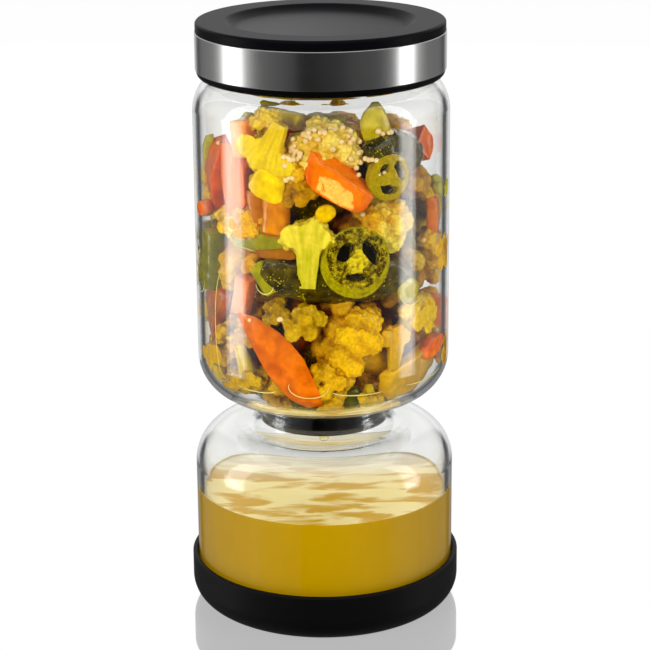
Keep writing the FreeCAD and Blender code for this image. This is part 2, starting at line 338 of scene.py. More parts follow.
def cloudyBrine(add):
    # turmeric-stained pickle brine: cloudy yellow, its face painted with a pale streaked reflection and a
    # faint glow
    place = add("TexCoord").outputs["Object"]
    shape = add("NewGeometry")
    up = add("SeparateXYZ", {0: shape.outputs["Normal"]})
    onTop = add("MapRange", {"Value": up.outputs["Z"], "From Min": 0.6, "From Max": 0.95})
    long = add("Mapping", {"Vector": place, "Scale": (1 / (26 * mm), 1 / (9 * mm), 1.0)})
    streaks = add("TexNoise", {
        "Vector": long, "Scale": 1.0, "Detail": 3.0, "Roughness": 0.5, "Distortion": 0.6})
    share = add("MapRange", {
        "Value": streaks, "From Min": 0.44, "From Max": 0.58}, interpolation_type="SMOOTHSTEP")
    # painted reflection: the top face is coloured pale in streaks, standing in for the bright room it
    # mirrors
    film = add("Mix", {"Factor": share, "A": "FFE69A", "B": "DAA50A"}, data_type="RGBA")
    # painted reflection: paler towards the far side
    where = add("SeparateXYZ", {0: place})
    reach = add("MapRange", {
        "Value": where.outputs["Y"], "From Min": -10 * mm, "From Max": 42 * mm, "To Max": 0.8},
        interpolation_type="SMOOTHSTEP")
    thin = add("Mix", {"Factor": reach, "A": film, "B": "F6F2E2"}, data_type="RGBA")
    cloud = add("TexNoise", {"Vector": place, "Scale": 1 / (30 * mm)})
    murk = add("Mix", {"Factor": cloud, "A": "AC8200", "B": "B48C00"}, data_type="RGBA")
    colour = add("Mix", {"Factor": onTop, "A": murk, "B": thin}, data_type="RGBA")
    ripple = add("Bump", {"Height": streaks, "Strength": 0.5, "Distance": 1.2 * mm})
    # painted glow: the top face gives off a little light in its painted reflection colour
    lit = add("VectorMath", {0: thin, "Scale": onTop}, operation="SCALE")
    return add("BsdfPrincipled", {
        "Base Color": colour, "Roughness": 0.04, "IOR": 1.34, "Normal": ripple, "Emission Color": lit,
        "Emission Strength": 0.16})


def makeBrine():
    wall, over = jar["wall"], 0.25
    radius = jar["lower"] - wall + over
    floor = jar["foot"] + wall - over
    corners = [
        (0, floor, 0),
        (radius, floor, jar["footRound"] - wall + over),
        (radius, brineHigh.z + 1.0, 0.2),
        (radius - 1.4, brineHigh.z, 1.6),
        (0, brineHigh.z, 0),
    ]
    flatShaded(showPiece("brine_pool", turned(corners), cloudyBrine, ["brine"]))


makeBrine()
print("brine made")


# what presses hard on the glass runs 0.3 mm into it, as its oil leaves no air between
cup = {
    "radius": jar["upper"] - jar["wall"] + 0.3, "corner": jar["jarRound"] - jar["wall"] + 0.3,
    "floor": sieveHigh.z + 0.35, "press": 1.0,
}
# painted shade, darker and redder deeper from the glass: what is taken from red, green and blue at most,
# from how deep and over what depth, and the height where it fades out, in mm
murk = {"taken": (0.56, 0.82, 0.95), "from": 3.0, "over": 13.0, "top": 202, "fade": 14}
kinds = {}


def pressed(deep):
    # past the glass a piece flattens, and keeps a little of its relief
    return cup["press"] * (1 - math.exp(-deep / cup["press"]))


def kept(point):
    # a point in mm, held inside the chamber: its wall, its rounded corner and the strainer under it
    reach = math.hypot(point.x, point.y)
    floor = cup["floor"] if reach < sieveHigh.x + 1 else jar["floor"] + 0.5
    height = max(point.z, floor + 0.05 * (point.z - floor))
    soft = cup["radius"] - cup["press"]
    bend = cup["radius"] - cup["corner"]
    base = jar["floor"] + 0.4 + cup["corner"]
    radius = reach
    if height < base and reach > bend:
        gap = math.hypot(reach - bend, base - height)
        limit = cup["corner"] - cup["press"]
        if gap > limit:
            share = (limit + pressed(gap - limit)) / gap
            radius = bend + (reach - bend) * share
            height = base - (base - height) * share
    elif reach > soft:
        radius = soft + pressed(reach - soft)
    if reach > 0:
        point = Vector((point.x * radius / reach, point.y * radius / reach, height))
    return point


def around(angle, radius, height):
    # a place by its angle from the front
    turn = math.radians(angle)
    return Vector((math.sin(turn) * radius, -math.cos(turn) * radius, height))


def lay(kind, bm, angle, height, radius, turn=0, lean=0, yaw=0, size=1.0):
    # puts a piece modelled about its own middle, its front at -Y, where it lies in the jar
    matrix = rotation(angle, "Z") @ Matrix.Translation((0, -radius, height))
    matrix = matrix @ rotation(-turn, "Y") @ rotation(lean, "X") @ rotation(yaw, "Z") @ Matrix.Scale(size, 4)
    bmesh.ops.transform(bm, matrix=matrix, verts=bm.verts)
    tone = bm.verts.layers.float_color["tone"]
    for vert in bm.verts:
        vert.co = kept(vert.co)
        # painted shade: what lies deeper from the glass is darkened and reddened, as shade between the
        # pieces
        deep = (cup["radius"] - math.hypot(vert.co.x, vert.co.y) - murk["from"]) / murk["over"]
        deep = min(1, max(0, deep)) * min(1, max(0, (murk["top"] - vert.co.z) / murk["fade"]))
        stain = [1 - taken * deep for taken in murk["taken"]] + [1]
        vert[tone] = [part * share for part, share in zip(vert[tone], stain)]
    bmesh.ops.scale(bm, vec=(mm, mm, mm), verts=bm.verts)
    kinds.setdefault(kind, []).append(addObject(kind, bm))


def joined(kind, name, material):
    # all the pieces of a kind as one mesh
    pieces = kinds.pop(kind)
    with bpy.context.temp_override(active_object=pieces[0], selected_objects=pieces,
                                   selected_editable_objects=pieces):
        bpy.ops.object.join()
    pieces[0].name = pieces[0].data.name = name
    return dressed(pieces[0], material)


def blob(bm, place, size, detail=2):
    stretch = size if isinstance(size, tuple) else (size, size, size)
    matrix = Matrix.Translation(place) @ Matrix.Diagonal((*stretch, 1))
    bmesh.ops.create_icosphere(bm, subdivisions=detail, radius=1.0, matrix=matrix)


def taper(bm, start, end, radius1, radius2, segments=12):
    start, end = Vector(start), Vector(end)
    along = end - start
    matrix = Matrix.Translation((start + end) / 2) @ along.to_track_quat("Z", "Y").to_matrix().to_4x4()
    bmesh.ops.create_cone(bm, cap_ends=True, segments=segments, radius1=radius1, radius2=radius2,
                          depth=along.length, matrix=matrix)


def reshaped(bm, kind, **settings):
    # the mesh as one modifier leaves it
    lumps = addObject("lumps", bm)
    modifier = lumps.modifiers.new("skin", kind)
    for name, value in settings.items():
        setattr(modifier, name, value)
    skin = bpy.data.meshes.new_from_object(lumps.evaluated_get(bpy.context.evaluated_depsgraph_get()))
    bpy.data.objects.remove(lumps)
    bm = bmesh.new()
    bm.from_mesh(skin)
    bpy.data.meshes.remove(skin)
    return bm


def fused(bm, voxel):
    # overlapping lumps become one skin
    return reshaped(bm, "REMESH", mode="VOXEL", voxel_size=voxel)


def thinned(bm, share):
    # keeps this share of the triangles, most where the skin bends
    return reshaped(bm, "DECIMATE", ratio=share)


def moved(bm, push):
    # each point goes along its normal by what push says for it, in mm
    bm.normal_update()
    for vert in bm.verts:
        vert.co += vert.normal * push(vert.co)
    return bm


# turmeric in the oil takes most of the blue out of every colour
turmeric = (1.0, 0.87, 0.26)
lightOil = (1.0, 0.93, 0.6)


def toned(bm, tone, oil=turmeric):
    # tone gives each point its colour, as a share from one hex colour to another
    layer = bm.verts.layers.float_color.new("tone")
    bm.normal_update()
    for vert in bm.verts:
        first, second, share, *curd = tone(vert.co, vert.normal)
        share = min(1, max(0, share))
        colour = [a + (b - a) * share for a, b in zip(linear(first), linear(second))]
        vert[layer] = [min(1, part * dye) for part, dye in zip(colour, oil)] + (curd or [0.0])
    return bm


def wave(place, size, seed=0.0):
    return noise.noise(place / size + Vector((seed * 3.7, seed * 1.3, seed * 5.1)))


def cells(place, size, seed=0.0):
    # 1 in the middle of a cell, about 0 at its edge
    near = noise.voronoi(place / size + Vector((seed * 2.3, seed * 4.1, seed * 1.9)))[0][0]
    return 1 - min(1, near * 1.35)


# cauliflower: a pale stem that branches under a crown of curd, in mm
cauliflower = {"lobes": 12, "stem": 3.4, "curd": 1.6, "bead": 0.62, "fine": 0.44, "coarse": 0.85}


def makeFloret(wide, tall, seed, crown, low, stem, lobes=cauliflower["lobes"], thick=cauliflower["stem"],
               fine=True, cut=None, spread=1.25, oil=turmeric):
    luck = random.Random(seed)
    voxel = cauliflower["fine"] if fine else cauliflower["coarse"]
    base = Vector((0, 0, -tall * 0.1))
    bm = bmesh.new()
    taper(bm, (0, 0, -tall * 0.5), base, thick * 0.85, thick * 1.25, 16)
    reach = wide * 0.5
    lump = wide * 0.5 / math.sqrt(lobes) * 1.2
    tips = []
    for i in range(lobes):
        turn = i * 2.4 + luck.uniform(-0.3, 0.3)
        out = math.sqrt((i + 0.4) / lobes) * spread
        long = reach * luck.uniform(0.7, 0.82)
        tip = base + Vector((math.sin(out) * math.cos(turn) * long, math.sin(out) * math.sin(turn) * long,
                             math.cos(out) * long * min(1.1, tall / wide) * 0.9))
        size = lump * luck.uniform(0.82, 1.15)
        taper(bm, base - Vector((0, 0, thick * 0.6)), base.lerp(tip, 0.55), thick * 0.7, size * 0.62)
        taper(bm, base.lerp(tip, 0.45), tip, size * 0.5, size * 0.85)
        blob(bm, tip, size)
        tips.append((tip, size))
        for _ in range(20):
            way = Vector((luck.gauss(0, 1), luck.gauss(0, 1), luck.gauss(0, 1))).normalized()
            way = (way + (tip - base).normalized() * 0.8).normalized()
            blob(bm, tip + way * size * 0.88, size * luck.uniform(0.2, 0.32), 1)
    bm = fused(bm, voxel)
    if cut:
        sliced(bm, *cut)
        bm = fused(bm, voxel)

    def crownShare(co):
        near = min(((co - tip).length - size * 1.02) for tip, size in tips)
        return min(1, max(0, 1 - near / 1.4))

    def onCut(co, depth):
        return cut and (co - Vector(cut[0])).dot(Vector(cut[1])) > -depth

    def fibre(co):
        # fibres that fan out from the stem
        return noise.noise(Vector((co.x / 1.3 / (1 + max(0, co.z) * 0.06), seed, co.z / 9)))

    def push(co):
        share = crownShare(co)
        if onCut(co, 0.5):
            return 0.45 * fibre(co)
        return share * (cauliflower["bead"] * (cells(co, cauliflower["curd"], seed) - 0.45)
                        + 0.3 * wave(co, 3.5, seed)) + (1 - share) * 0.2 * wave(co, 2.0, seed)

    bm = thinned(moved(bm, push), 0.42 if fine else 0.5)
    deepest = base + Vector((0, 0, reach * 0.2))

    def tone(co, normal):
        share = crownShare(co)
        if onCut(co, 0.4):
            return stem, crown, 0.5 * share + 0.9 * fibre(co) + 0.2, 0.25 * share
        if share < 0.5:
            return stem, crown, share + 0.25 * wave(co, 2.5, seed), 0.3 * share
        # painted shade: the curd darkens between its lobes and towards the middle of the crown
        depth = 1 - min(1, (co - deepest).length / (reach * 0.95))
        return crown, low, (1.9 * depth + 0.6 * wave(co, 4.5, seed)
                            + 0.35 * (0.5 - cells(co, cauliflower["curd"], seed))), share

    return toned(bm, tone, oil)


# carrot: knife-cut blocks, slices and sticks
carrot = {"edge": 0.45, "longest": 1.6, "rounds": 3, "wobble": 0.25}


def makeCarrot(points, seed, flesh, deep, pale=None, paleWay=None, oil=turmeric):
    bm = bmesh.new()
    for point in points:
        bm.verts.new(point)
    bmesh.ops.convex_hull(bm, input=bm.verts)
    bmesh.ops.delete(bm, geom=[vert for vert in bm.verts if not vert.link_faces], context="VERTS")
    bmesh.ops.dissolve_limit(bm, angle_limit=math.radians(4), verts=bm.verts, edges=bm.edges)
    bmesh.ops.bevel(bm, geom=bm.edges[:], offset=carrot["edge"], affect="EDGES", segments=2, profile=0.5,
                    material=-1)
    bmesh.ops.triangulate(bm, faces=bm.faces)
    for _ in range(carrot["rounds"]):
        longEdges = [edge for edge in bm.edges if edge.calc_length() > carrot["longest"]]
        if longEdges:
            bmesh.ops.subdivide_edges(bm, edges=longEdges, cuts=1)
            bmesh.ops.triangulate(bm, faces=bm.faces)
    moved(bm, lambda co: carrot["wobble"] * wave(co, 3.5, seed) + 0.1 * wave(co, 0.9, seed))

    def tone(co, normal):
        # painted highlight: the facet facing paleWay is paler, as if mirroring a light
        if paleWay and normal.dot(Vector(paleWay).normalized()) > 0.97:
            return flesh, pale, 0.75 + 0.5 * wave(co, 0.45, seed)
        # painted shade: faces turned down lean to the darker colour
        return flesh, deep, 0.35 + 0.8 * wave(co, 4.0, seed) - 0.4 * normal.z

    return toned(bm, tone, oil)


def makeGherkin(long, thick, seed, bend=0.0, skin="24260A", light="55561A", detail=5, scar="A08A3C"):
    # a small pickled cucumber along X with warts and a pale scar at its right end
    bm = bmesh.new()
    bmesh.ops.create_icosphere(bm, subdivisions=detail, radius=1.0)
    for vert in bm.verts:
        x, y, z = vert.co
        girth = math.sqrt(max(0, 1 - abs(x) ** 3.4)) / max(1e-4, math.sqrt(max(1e-8, 1 - x * x)))
        thin = 1 - 0.08 * x * x
        vert.co = Vector((x * long / 2, y * girth * thick / 2 * thin, z * girth * thick / 2 * thin
                          + bend * (x * x - 0.4)))
    moved(bm, lambda co: (0.9 * cells(co, 3.8, seed) ** 2 + 0.45 * wave(co, 5.0, seed)
                          + 0.24 * wave(co, 1.1, seed)))

    def tone(co, normal):
        if scar and co.x > long * 0.47:
            return scar, skin, 0.3 + wave(co, 1.5, seed)
        speck = 1.0 if noise.noise(co / 0.8) > 0.42 else 0.0
        return skin, light, 0.3 + 0.9 * wave(co, 3.2, seed) + 0.35 * cells(co, 4.2, seed) + 0.5 * speck

    return toned(bm, tone)


def makeRing(radius, thick, seed, holes, skin, flesh, core, coreSize=0.3, rim=0.86):
    # a slice of chilli facing -Y: holes are angle, distance, length and width of each seed chamber
    bm = bmesh.new()
    outer = bmesh.ops.create_circle(bm, segments=56, radius=radius)["verts"]
    for vert in outer:
        vert.co *= 1 + 0.03 * noise.noise(vert.co.normalized() * 1.4 + Vector((seed, 0, 0)))
    for angle, distance, long, width in holes:
        loop = bmesh.ops.create_circle(bm, segments=22, radius=1.0)["verts"]
        for vert in loop:
            rough = 1 + 0.24 * noise.noise(vert.co * 2.6 + Vector((angle, seed, 0)))
            x, y = vert.co.x * long / 2 * rough, vert.co.y * width / 2 * rough
            # the chamber bends round the core
            y -= 0.12 * (x * x) / max(2.0, distance)
            vert.co = rotation(angle - 90, "Z", 3) @ Vector((x, y + distance, 0))
    bmesh.ops.triangle_fill(bm, edges=bm.edges, use_beauty=True)
    wrong = [face for face in bm.faces if face.normal.z < 0]
    bmesh.ops.reverse_faces(bm, faces=wrong)
    bmesh.ops.translate(bm, vec=(0, 0, -thick / 2), verts=bm.verts)
    bottom = bm.faces[:]
    lifted = bmesh.ops.extrude_face_region(bm, geom=bottom, use_keep_orig=True)["geom"]
    top = [item for item in lifted if isinstance(item, bmesh.types.BMVert)]
    bmesh.ops.translate(bm, vec=(0, 0, thick), verts=top)
    bmesh.ops.reverse_faces(bm, faces=bottom)
    bmesh.ops.recalc_face_normals(bm, faces=bm.faces)
    bm = fused(bm, 0.3 if radius > 10 else 0.26)
    smoothed(bm, 2)
    bm = thinned(moved(bm, lambda co: 0.14 * wave(co, 1.1, seed) + 0.2 * wave(co, 3.0, seed)), 0.5)

    def tone(co, normal):
        out = math.hypot(co.x, co.y) / radius
        if out > 0.95 or (out > rim and abs(normal.z) < 0.75):
            return skin, flesh, 0.15 + 0.5 * wave(co, 2.2, seed)
        if out < coreSize:
            return core, flesh, 0.15 + 0.9 * wave(co, 1.4, seed)
        speck = 0.45 if noise.noise(co / 0.45) > 0.3 else 0.0
        return flesh, core, 0.1 + speck + 0.6 * wave(co, 1.8, seed) - (0.4 if out > rim else 0)

    toned(bm, tone)
    bmesh.ops.rotate(bm, cent=(0, 0, 0), matrix=rotation(90, "X", 3), verts=bm.verts)
    return bm


def makeStrip(long, wide, thick, seed, curl, skin, deep):
    # a strip of pepper along X, curled away from -Y
    bm = bmesh.new()
    bmesh.ops.create_grid(bm, x_segments=22, y_segments=9, size=1.0)
    for vert in bm.verts:
        x, y = vert.co.x, vert.co.y
        edge = 1 - 0.12 * abs(noise.noise(Vector((x * 1.7, y * 0.6, seed)))) - 0.25 * abs(x) ** 5
        vert.co = Vector((x * long / 2, 0, y * edge * wide / 2))
    bmesh.ops.recalc_face_normals(bm, faces=bm.faces)
    bmesh.ops.solidify(bm, geom=bm.faces[:], thickness=thick)
    bmesh.ops.remove_doubles(bm, verts=bm.verts, dist=0.001)
    bm = fused(bm, 0.55)
    smoothed(bm)
    for vert in bm.verts:
        x, y, z = vert.co
        turn = x / curl
        vert.co = Vector((math.sin(turn) * (curl + y), curl - math.cos(turn) * (curl - y), z))
    bm = thinned(moved(bm, lambda co: 0.4 * wave(co, 5.0, seed) + 0.12 * wave(co, 1.6, seed)), 0.5)
    return toned(bm, lambda co, normal: (skin, deep, 0.4 + 0.9 * wave(co, 5.0, seed)))


def makeBean(long, thick, seed, bend=0.0, skin="7F7F14", light="A9A33A", end="B9B06A"):
    # a cut length of bean or stem along X
    bm = bmesh.new()
    bmesh.ops.create_cone(bm, cap_ends=True, segments=24, radius1=thick / 2, radius2=thick / 2 * 0.9,
                          depth=long, matrix=rotation(90, "Y"))
    sides = [edge for edge in bm.edges if abs(edge.verts[0].co.x - edge.verts[1].co.x) > long / 2]
    bmesh.ops.subdivide_edges(bm, edges=sides, cuts=14)
    rims = [edge for edge in bm.edges if all(abs(abs(vert.co.x) - long / 2) < 0.01 for vert in edge.verts)]
    bmesh.ops.bevel(bm, geom=rims, offset=thick * 0.12, affect="EDGES", segments=2, profile=0.5, material=-1)
    for vert in bm.verts:
        vert.co.z += bend * ((2 * vert.co.x / long) ** 2 - 0.4)
    moved(bm, lambda co: 0.35 * wave(co, 4.0, seed) + 0.1 * wave(co, 1.1, seed))

    def tone(co, normal):
        if abs(normal.x) > 0.8:
            return end, skin, 0.2 + wave(co, 1.5, seed)
        return skin, light, 0.35 + 0.9 * wave(co, 3.0, seed)

    return toned(bm, tone)


def makeLump(size, seed, first, second, rough=0.18, detail=4, cut=None):
    # a soft lump, stretched, roughened and, where cut says so, sliced
    bm = bmesh.new()
    blob(bm, (0, 0, 0), size, detail)
    big = min(size)
    moved(bm, lambda co: big * rough * wave(co, big * 0.9, seed) + big * 0.05 * wave(co, big * 0.3, seed))
    if cut:
        sliced(bm, *cut)
    return toned(bm, lambda co, normal: (first, second, 0.4 + wave(co, big * 0.7, seed)))


def box(long, wide, tall, skew=0.0):
    # corners of a knife-cut block, a little out of true
    return [(x * long * (1 + skew * z), y * wide * (1 - skew * x), z * tall * (1 + skew * y))
            for x in (-0.5, 0.5) for y in (-0.5, 0.5) for z in (-0.5, 0.5)]


# florets at the front, from the top down: width, height, seed, crown, the colour of its painted crevice
# shade, stem, lobes and thickness of stem, then where and how each lies
frontFlorets = [
    (12, 12, 21, "F4D838", "D8AE14", "F2E668", 6, 2.0, -30.5, 206.5, 40, 14, 20),
    (24, 23, 22, "FAE444", "D2AE14", "DEC430", 7, 3.8, -26, 197.0, 44.3, 158, 8),
    (28, 22, 23, "FFEEB8", "ECC060", "F0D868", 14, 3.4, 1.5, 196.0, 34.5, 4, 52),
    (17, 15, 24, "EEBE44", "C4881C", "DCC850", 8, 2.2, -10, 190.0, 39.5, -20, 50),
    (15, 14, 50, "C8981C", "94640C", "C8B840", 7, 2.4, -11, 182.0, 41.5, 30, 60),
    (16, 14, 25, "F0BE28", "C88A10", "E0D070", 9, 2.6, -39, 168.5, 43.0, 4, 60),
    (14, 12, 26, "F6D668", "D0A02C", "E0D070", 7, 2.0, -52, 167.0, 43.0, -8, 55),
    (25, 33, 27, "EEE298", "C8A838", "C8C84C", 11, 3.7, -6.5, 161.5, 45.5, -2, -4),
    (24, 22, 28, "FAE88C", "DCA834", "E4D68A", 16, 3.2, 37, 168.0, 38.5, 4, 72),
    (15, 14, 29, "EEC444", "C08A1C", "E4D68A", 9, 2.4, 27, 168.5, 40.0, 30, 60),
    (9, 8, 51, "DCE040", "B8B81C", "E0E080", 6, 1.6, 77, 175.5, 46.3, 40, 40),
    (19, 18, 30, "F0C828", "C8940E", "E2CE50", 10, 2.6, 74, 150.5, 44.3, -30, 60),
    (8.5, 8, 33, "E4AC3C", "AC7414", "D0C050", 6, 1.6, -36, 152.0, 45.3, 40, 50),
    (22, 20, 54, "C89A1C", "8A6408", "B8A82C", 8, 2.4, -48, 122.0, 37.0, 20, 50),
    (13, 12, 34, "B8981A", "846208", "B8AE2C", 7, 2.0, -23, 133.5, 43.0, 30, 50),
    (17, 16, 35, "D2B226", "987608", "BCAE2C", 10, 2.4, -10.5, 130.5, 43.5, -6, 60),
    (36, 46, 36, "F0C820", "B88004", "D0A80C", 18, 5.6, 18, 118.5, 36.5, 54, 10, 30),
    (15, 24, 37, "E8B81C", "C08A0A", "CEAC24", 6, 2.6, 37, 121.0, 45.2, -4, 0),
    (20, 24, 38, "F0D468", "C8A42C", "E6DC84", 11, 3.0, 55, 128.5, 43.5, -10, 40),
    (17, 15, 55, "DCB41C", "A07C08", "C8B028", 8, 2.4, 80, 110.0, 45.8, 30, 40),
    (10, 10, 39, "E0B81A", "AC840A", "CFC040", 6, 1.8, -56, 121.0, 45.0, 60, 30),
    (19, 19, 40, "C8A030", "84600C", "CCB430", 10, 2.8, -65, 109.0, 45.3, 12),
    (16, 27, 41, "D4B41C", "9C7A0A", "C8B422", 9, 2.6, -39, 106.0, 45.0, 196, -4),
    (14, 12, 42, "CCAA18", "94740A", "C0B430", 8, 2.2, -52, 100.5, 43.0, 40, 40),
    (15, 15, 48, "EAC028", "B4860C", "D0B020", 9, 2.4, 1.5, 107.5, 43.5, 20, 60),
    (13, 13, 53, "E2B81C", "AC800A", "D0B020", 8, 2.4, 3.5, 98.0, 41.5, -30, 60),
    (11, 10, 49, "DCC018", "A88808", "D0C030", 6, 2.0, 24.5, 98.5, 41.0, 170, 10),
    (13, 11, 52, "C8A416", "947008", "C0B430", 7, 2.2, -26, 97.5, 38.0, 150, 10),
]
# those that are cut through, opened wide or in paler oil, by seed
floretExtras = {
    22: {"cut": ((0, -2.2, 0), (0, -1, 0))},
    23: {"oil": lightOil},
    27: {"spread": 1.0, "cut": ((0, -2.2, 0), (0, -1, -0.1))},
    28: {"oil": lightOil},
    36: {"spread": 1.3},
    37: {"cut": ((0, -1.4, 0), (0, -1, 0)), "spread": 1.0},
    40: {"cut": ((0, -3, 0), (0, -1, 0))},
}


# corners of the pieces that a knife has cut askew
cuts = {
    "bent": [
        (-6, -1, 14), (2, -2, 14), (6, -1, 4), (6, -1, -9), (1, -2, -14), (-5, -1, -14), (-7, -1, 0),
        (0, -3, 0), (-5, 6, 11), (4, 6, 8), (4, 6, -10), (-5, 6, -10),
    ],
    "block": [
        (-10.6, 0, 11.8), (-2.7, 3, 10.6), (5.7, 3, 3.8), (11, 1, -2.3), (13.2, -1, -6.1), (8.4, -3, -11.4),
        (4.9, -4, -12), (-1.2, -4.8, -9.0), (-7.0, -5, -4.4), (-10.3, -4, -3), (-12.9, -2, 0),
        (-13.7, 0.5, 5.3), (-8.6, -5.6, 3.8), (-1.0, -7.2, 0.8), (4.2, -6.4, -4.0), (-11, 8, 7),
        (11, 7, -8), (-8, 7, -3), (3, 8, 6),
    ],
    "wedge": [
        (-8, 1, 1), (-6.5, -3, -2.5), (-1, -4.5, 5.5), (3, -3, 5), (8, -1, 0.5), (7.5, -2.5, -7),
        (4.5, -4, -8), (1, -5.5, -2), (-3, -4.5, -5.5), (5.5, -4.5, 0), (-5, 6, 3), (6, 6, 4), (6, 5, -6),
        (-4, 5, -4),
    ],
    "slice": [
        (-17, -1, 20), (-14.5, -2.5, 14), (-10, -2, 8), (-4, -3, -3), (5, -3, -13), (12, -2, -19),
        (18.5, -1, -17), (17, -1, -9), (11, -1, 4), (3, 0, 12), (-9, 0, 19), (-14, 5, 16), (12, 5, -14),
        (6, 5, 2), (-8, 5, 12), (6, -4.2, -3), (-5, -4.6, 9), (13, -3.4, -14),
    ],
}


def layFront():
    # the pieces that lie against the glass at the front, from the top down, the florets by their own table
    # painted light: this bean is coloured paler than its own colour, making up for the lid's shade over it
    lay("greens", makeBean(18.5, 7.6, 3, -0.5, "EEE03C", "FFF488", "FFF4B0"), -40, 206.0, 24, -9, 4, 10)
    lay("greens", makeLump((5.0, 3.2, 3.0), 4, "A09A3A", "C8BC74"), -2, 204.5, 16, -12)
    lay("greens", makeLump((3.6, 3.0, 2.4), 5, "A8A868", "C8C29A"), 22, 203.5, 16)
    lay("greens", makeLump((3.8, 3.0, 3.6), 6, "98943A", "B4AC56"), -49, 205.0, 36)
    lay("carrots", makeCarrot(box(7.0, 7, 15, 0.2), 11, "FFB088", "FF8C48"), -42, 200.0, 42.5, 8, -6)
    lay("carrots", makeCarrot(cuts["bent"], 12, "FF8A48", "F4641C"), -47, 184.0, 44.2, 3)
    for row in frontFlorets:
        lay("florets", makeFloret(*row[:8], **floretExtras.get(row[2], {})), *row[8:])
    lay("greens", makeLump((7.2, 4.0, 8.6), 7, "B0A81E", "D4CC6A", 0.08, cut=((3.4, 0, 0), (1, 0, 0.1))),
        33, 204.5, 38, 8, -6)
    lay("gherkins", makeGherkin(43, 17.0, 31, -1.5, "1C1A04", "524E12"), 50, 192.0, 35.0, -13, 0, 16)
    lay("rings", makeRing(8.8, 5.4, 41, [(130, 4.3, 5.2, 3.4), (27, 4.8, 8.4, 3.8), (-100, 4.8, 8.2, 3.8)],
                          "A09600", "A09400", "B4A828", 0.12), 32, 186.6, 46.6, 0, -8, 6)
    # painted shade: a thin dark sheet behind the ring, so that its seed holes look shaded
    lay("pulp", makeLump((8.0, 1.6, 8.0), 44, "141202", "2A2606", 0.05), 32, 185.6, 40.0, 0, -16)
    lay("carrots", makeCarrot(cuts["block"], 13, "F98210", "EA6204", "FFD8C4", (-0.12, -1, -0.16), lightOil),
        9.0, 186.3, 43.4)
    lay("peppers", makeCarrot(cuts["wedge"], 8, "FAE614", "DCBE02", "FFF468", (0.1, -1, 0.5)),
        -27.2, 185.6, 44.4)
    lay("peppers", makeBean(17, 11, 10, 0.4, "D88424", "E8A43C", "D8901C"), -23.5, 173.0, 43.0, 88, 0, 0)
    lay("peppers", makeBean(15, 8, 11, 0.4, "C07018", "D88C28", "C8841C"), -34, 174.0, 43.0, 94, 0, 0)
    lay("peppers", makeStrip(29, 13, 5.0, 12, 40, "F06A2E", "D44C16"), -72, 181.5, 45.8, 72)
    lay("greens", makeStrip(19, 4.2, 3.0, 13, 40, "BCC02C", "D8D46A"), -78, 189.0, 46.8, 58)
    lay("peppers", makeLump((5.4, 3.0, 3.4), 14, "FF8A24", "F06A0E", 0.1), -72, 169.0, 46.8, 20)
    lay("greens", makeStrip(28, 9.5, 2.0, 15, 46, "8E9418", "A8A82C"), -30, 163.2, 45.8, 10)
    lay("peppers", makeStrip(24, 6.5, 3.5, 16, 46, "A8660E", "BC7E18"), -29, 158.0, 44.6, 2)
    lay("peppers", makeLump((4.0, 2.6, 3.4), 17, "F4D80C", "DCB402", 0.12), 1.5, 174.4, 46.0, 30)
    lay("peppers", makeStrip(17, 7, 4.0, 19, 30, "F89068", "E87444"), 73, 163.5, 46.8, 84)
    lay("rings", makeRing(13.3, 7.5, 42, [(143, 5.9, 9.6, 5.6), (28, 6.6, 10.4, 6.2), (-92, 6.6, 10.8, 5.4)],
                          "A4A40E", "463A02", "DCD48C", 0.34, 0.95), 15.5, 154.7, 46.6, 0, -24, 4)
    # painted shade: a thin dark sheet behind the ring, so that its seed holes look shaded
    lay("pulp", makeLump((11.0, 1.6, 10.6), 45, "120C02", "241C04", 0.05), 15.5, 153.5, 41.0, 0, -20)
    lay("gherkins", makeGherkin(60, 20.5, 32, 1.6, "262000", "62580A", scar=None), 7, 147.0, 34.5, -3, 0, 3)
    lay("greens", makeLump((5.2, 2.6, 5.2), 65, "A4A640", "C0BE68", 0.06), 44, 140.5, 46.0)
    lay("greens", makeBean(13, 6.6, 20, 0.3, "8E960E", "ACAE24", "B0B038"), -28.5, 147.6, 45.8, -56, 0, 0)
    lay("carrots", makeCarrot(box(6.4, 5.5, 16, 0.15), 14, "F08660", "E46E44", oil=lightOil),
        -41.5, 139.0, 45.0, -12)
    lay("carrots", makeCarrot(cuts["slice"], 15, "EE7E14", "BC5208"), -22, 113.0, 45.0)
    lay("carrots", makeCarrot(box(6, 6, 18, 0.1), 16, "FF8E3C", "EE6E18"), 84, 121.0, 45.8, 4)
    lay("peppers", makeLump((9, 4, 3.6), 21, "E86418", "F48A28", 0.15), 64, 113.5, 46.3, 12)
    lay("peppers", makeStrip(30, 15, 4.6, 22, 48, "E8C400", "C8A400"), 52, 105.5, 45.6, 14, 12)
    lay("rings", makeRing(13.0, 6.0, 43, [(150, 6.0, 8.0, 4.6), (30, 6.0, 8.0, 4.6), (-90, 6.0, 8.0, 4.6)],
                          "7A8410", "8A8A14", "B8B650", 0.34, 0.84), -88, 147.0, 45.9, 0, 0, 10)
    lay("greens", makeBean(24, 10, 46, 0.6, "6A7010", "8E921C"), -68, 149.0, 44.8, 84, 0, 0)
    lay("peppers", makeStrip(26, 17, 4.0, 23, 44, "D07434", "A84A1C"), -72, 126.5, 46.5, 60)
    lay("peppers", makeStrip(16, 10, 4.0, 47, 44, "D0AC12", "B08C08"), -82, 106.0, 46.3, 60)
    lay("greens", makeLump((6.4, 4.4, 5.0), 61, "4A5A0E", "7A7E1A", 0.2), 14, 98.0, 38.0, 10)
    lay("greens", makeLump((6.0, 4.2, 4.4), 62, "3A4C0C", "6A7018", 0.2), -13, 97.0, 37.0, 30)
    lay("greens", makeLump((7.0, 4.2, 4.6), 63, "54600E", "82861C", 0.2), 36, 97.5, 38.5, 20)
    lay("peppers", makeLump((7.0, 4.2, 4.6), 64, "D8A80E", "B88408", 0.2), 57, 97.5, 38.5, 20)


